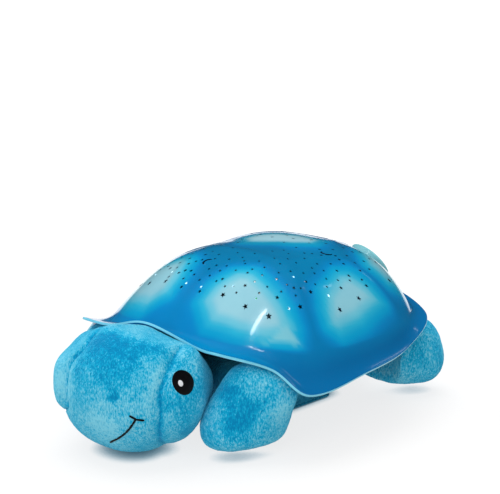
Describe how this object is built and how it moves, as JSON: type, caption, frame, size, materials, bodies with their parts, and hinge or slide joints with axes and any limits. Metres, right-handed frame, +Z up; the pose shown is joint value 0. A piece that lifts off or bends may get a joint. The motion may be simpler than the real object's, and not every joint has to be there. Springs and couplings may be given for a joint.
{
  "type": "star night light projector",
  "caption": "Plush turtle night light: a glossy star-pierced shell over a lamp module, a back control pod with push buttons and a belly flap to the battery bay.",
  "frame": {"origin": "on the ground under the middle of the turtle's length", "axes": "+Z up, head towards -Y, tail towards +Y, the turtle's left side towards +X"},
  "size_m": [0.2158, 0.2959, 0.117],
  "materials": {
    "shell_plastic": "high-gloss translucent moulding, deep blue with pale aqua patches",
    "tray_plastic": "satin white moulding",
    "cover_plastic": "glossy translucent aqua",
    "button_white": "glossy white",
    "button_blue": "glossy blue",
    "button_green": "glossy green",
    "button_amber": "glossy amber",
    "screw_steel": "zinc plated steel",
    "contact_metal": "nickel plated spring steel",
    "cell_jacket": "plain printed film over a metal can",
    "lead_insulation": "soft vinyl insulation",
    "board_green": "green solder mask",
    "chip_black": "matt black epoxy",
    "capacitor_sleeve": "dark blue sleeve",
    "lamp_blue": "clear blue epoxy",
    "lamp_green": "clear green epoxy",
    "lamp_amber": "clear amber epoxy",
    "plush_blue": "short mottled turquoise pile",
    "hook_tape": "woven hook tape",
    "loop_tape": "brushed loop tape",
    "black_thread": "black satin stitch"
  },
  "bodies": {
    "root": {"shell": "shell_plastic", "module_tray": "tray_plastic", "shell_screws": "screw_steel", "battery_1": "cell_jacket", "battery_2": "cell_jacket", "battery_3": "cell_jacket", "battery_springs": "contact_metal", "battery_plates": "contact_metal", "battery_leads": "lead_insulation", "main_board": "board_green", "board_screws": "screw_steel", "timer_chip": "chip_black", "capacitor": "capacitor_sleeve", "led_holder": "tray_plastic", "led_blue": "lamp_blue", "led_green": "lamp_green", "led_amber": "lamp_amber", "control_cover": "cover_plastic", "button_board": "board_green", "button_switches": "chip_black", "button_board_screws": "screw_steel", "button_lead": "lead_insulation", "hook_pads": "hook_tape", "loop_pads": "loop_tape", "plush_body": "plush_blue", "plush_head": "plush_blue", "left_front_flipper": "plush_blue", "right_front_flipper": "plush_blue", "left_rear_leg": "plush_blue", "right_rear_leg": "plush_blue", "tail": "plush_blue", "flap_hook_strip": "hook_tape", "left_eye": "black_thread", "right_eye": "black_thread"},
    "power_button": {"button_power": "button_white"},
    "blue_button": {"button_blue": "button_blue"},
    "green_button": {"button_green": "button_green"},
    "amber_button": {"button_amber": "button_amber"},
    "door": {"battery_door": "tray_plastic"},
    "captive_screw": {"door_screw": "screw_steel"},
    "flap": {"belly_flap": "plush_blue", "flap_loop_strip": "loop_tape"}
  },
  "joints": [
    {"name": "power_press", "type": "slide", "parent": "root", "child": "power_button", "axis": [-0.1566, -0.7864, -0.5975], "range_m": [0, 0.0009], "stiffness_N_per_m": 400},
    {"name": "blue_press", "type": "slide", "parent": "root", "child": "blue_button", "axis": [-0.1566, -0.7864, -0.5975], "range_m": [0, 0.0009], "stiffness_N_per_m": 400},
    {"name": "green_press", "type": "slide", "parent": "root", "child": "green_button", "axis": [-0.1566, -0.7864, -0.5975], "range_m": [0, 0.0009], "stiffness_N_per_m": 400},
    {"name": "amber_press", "type": "slide", "parent": "root", "child": "amber_button", "axis": [-0.1566, -0.7864, -0.5975], "range_m": [0, 0.0009], "stiffness_N_per_m": 400},
    {"name": "door_lift", "type": "slide", "parent": "root", "child": "door", "axis": [0, 0, -1], "range_m": [0, 0.025]},
    {"name": "screw_turn", "type": "hinge", "parent": "door", "child": "captive_screw", "pos_m": [0, -0.005, 0.042], "axis": [0, 0, -1], "continuous": true},
    {"name": "flap_swing", "type": "hinge", "parent": "root", "child": "flap", "pos_m": [0, -0.016, 0.0006], "axis": [-1, 0, 0], "range_deg": [0, 110]}
  ]
}
